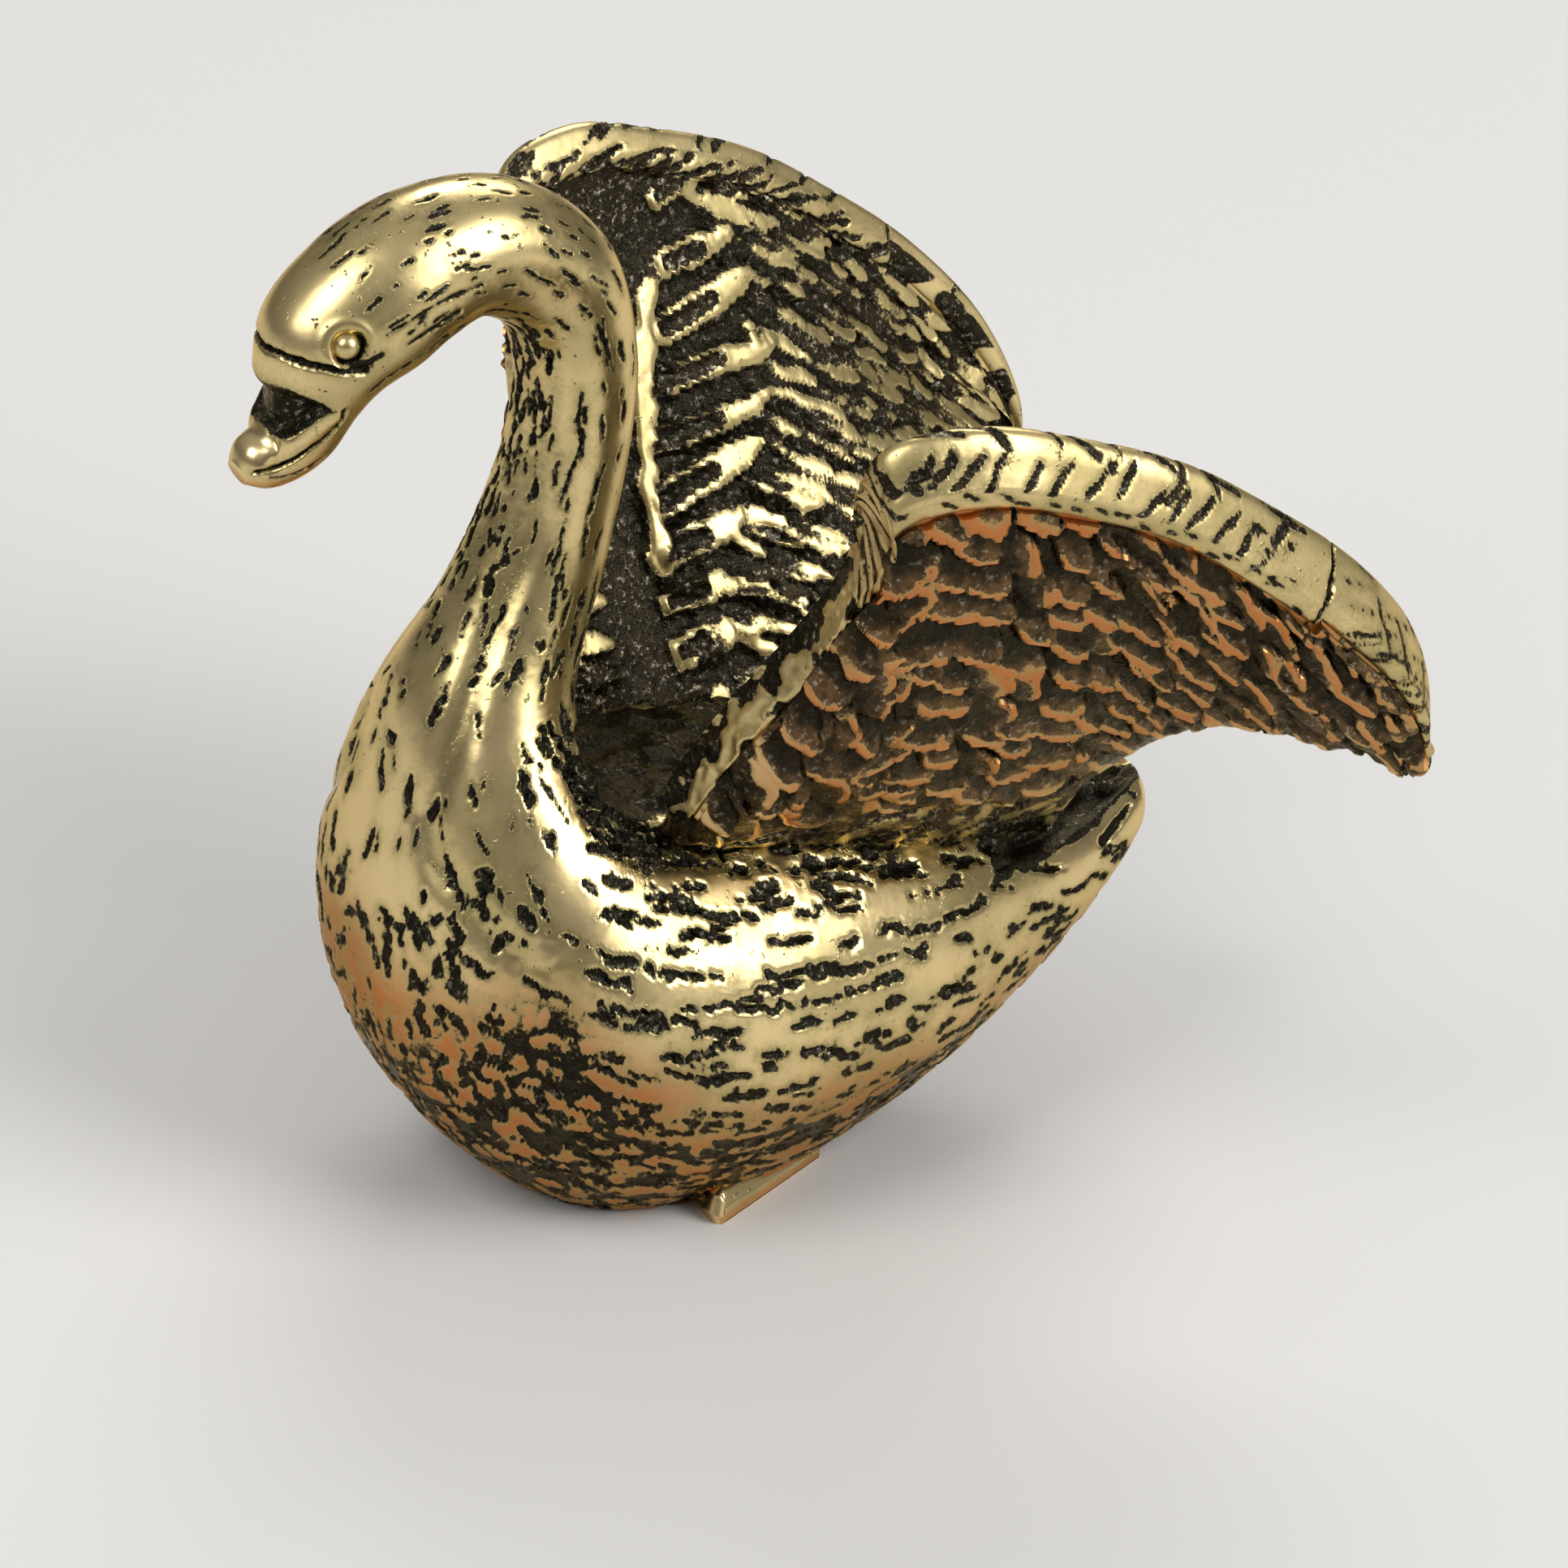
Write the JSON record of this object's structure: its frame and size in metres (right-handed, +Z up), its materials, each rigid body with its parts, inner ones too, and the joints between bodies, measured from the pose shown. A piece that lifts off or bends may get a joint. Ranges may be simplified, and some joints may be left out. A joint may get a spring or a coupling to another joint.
{
  "type": "swan figurine",
  "caption": "Solid brass swan figurine with raised, feathered wings, an S-curved neck and splayed feet, standing on a flat belly.",
  "frame": {"origin": "on the flat base, under the middle of the belly, on the plane that halves the swan", "axes": "+Z up, -X towards the bill, +X towards the tail, -Y towards the swan's left side"},
  "size_m": [0.0395, 0.03, 0.0377],
  "materials": {
    "polished_brass": "polished",
    "darkened_brass": "patinated relief, polished on its high spots"
  },
  "bodies": {
    "root": {"body": "polished_brass", "neck_and_head": "polished_brass", "left_wing": "darkened_brass", "right_wing": "darkened_brass", "left_foot": "polished_brass", "right_foot": "polished_brass", "left_eye": "polished_brass", "right_eye": "polished_brass"}
  },
  "joints": []
}
